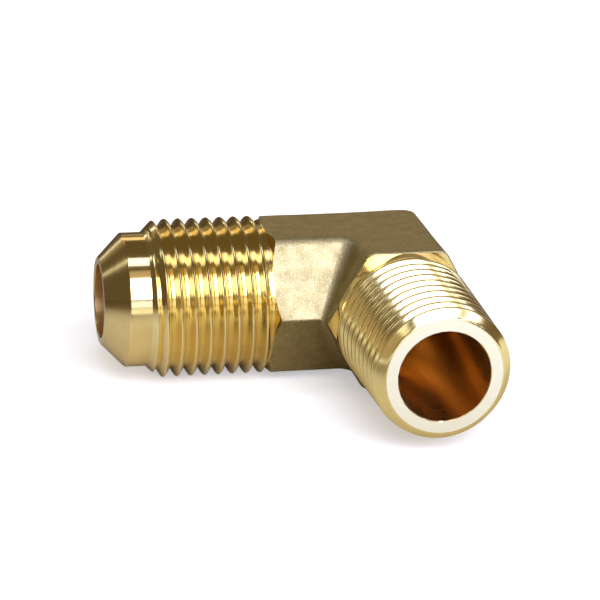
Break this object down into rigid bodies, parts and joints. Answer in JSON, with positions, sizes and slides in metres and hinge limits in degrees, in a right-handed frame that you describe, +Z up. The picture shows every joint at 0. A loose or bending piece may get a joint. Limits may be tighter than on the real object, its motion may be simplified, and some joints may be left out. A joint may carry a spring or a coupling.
{
  "type": "flare fitting",
  "caption": "Brass 90 degree male elbow that joins a flared tube to a pipe port: flare thread with 45 degree seat on one leg, tapered pipe thread on the other.",
  "frame": {"origin": "middle of the lower wrench flat, straight below the crossing of the two bores", "axes": "-X along the flare leg towards its mouth, -Y along the pipe leg towards its mouth, +Z up through the upper wrench flat"},
  "size_m": [0.0368, 0.0326, 0.0158],
  "materials": {
    "forged_brass": "hot forged and shot blasted, dull and finely grained",
    "turned_brass": "turned bright, fine machining marks",
    "pale_turned_brass": "turned bright, paler, fine machining marks"
  },
  "bodies": {
    "root": {"elbow_body": "forged_brass", "flare_thread": "turned_brass", "flare_nose": "turned_brass", "flare_seat": "turned_brass", "pipe_neck": "pale_turned_brass", "pipe_thread": "pale_turned_brass", "pipe_mouth": "pale_turned_brass"}
  },
  "joints": []
}
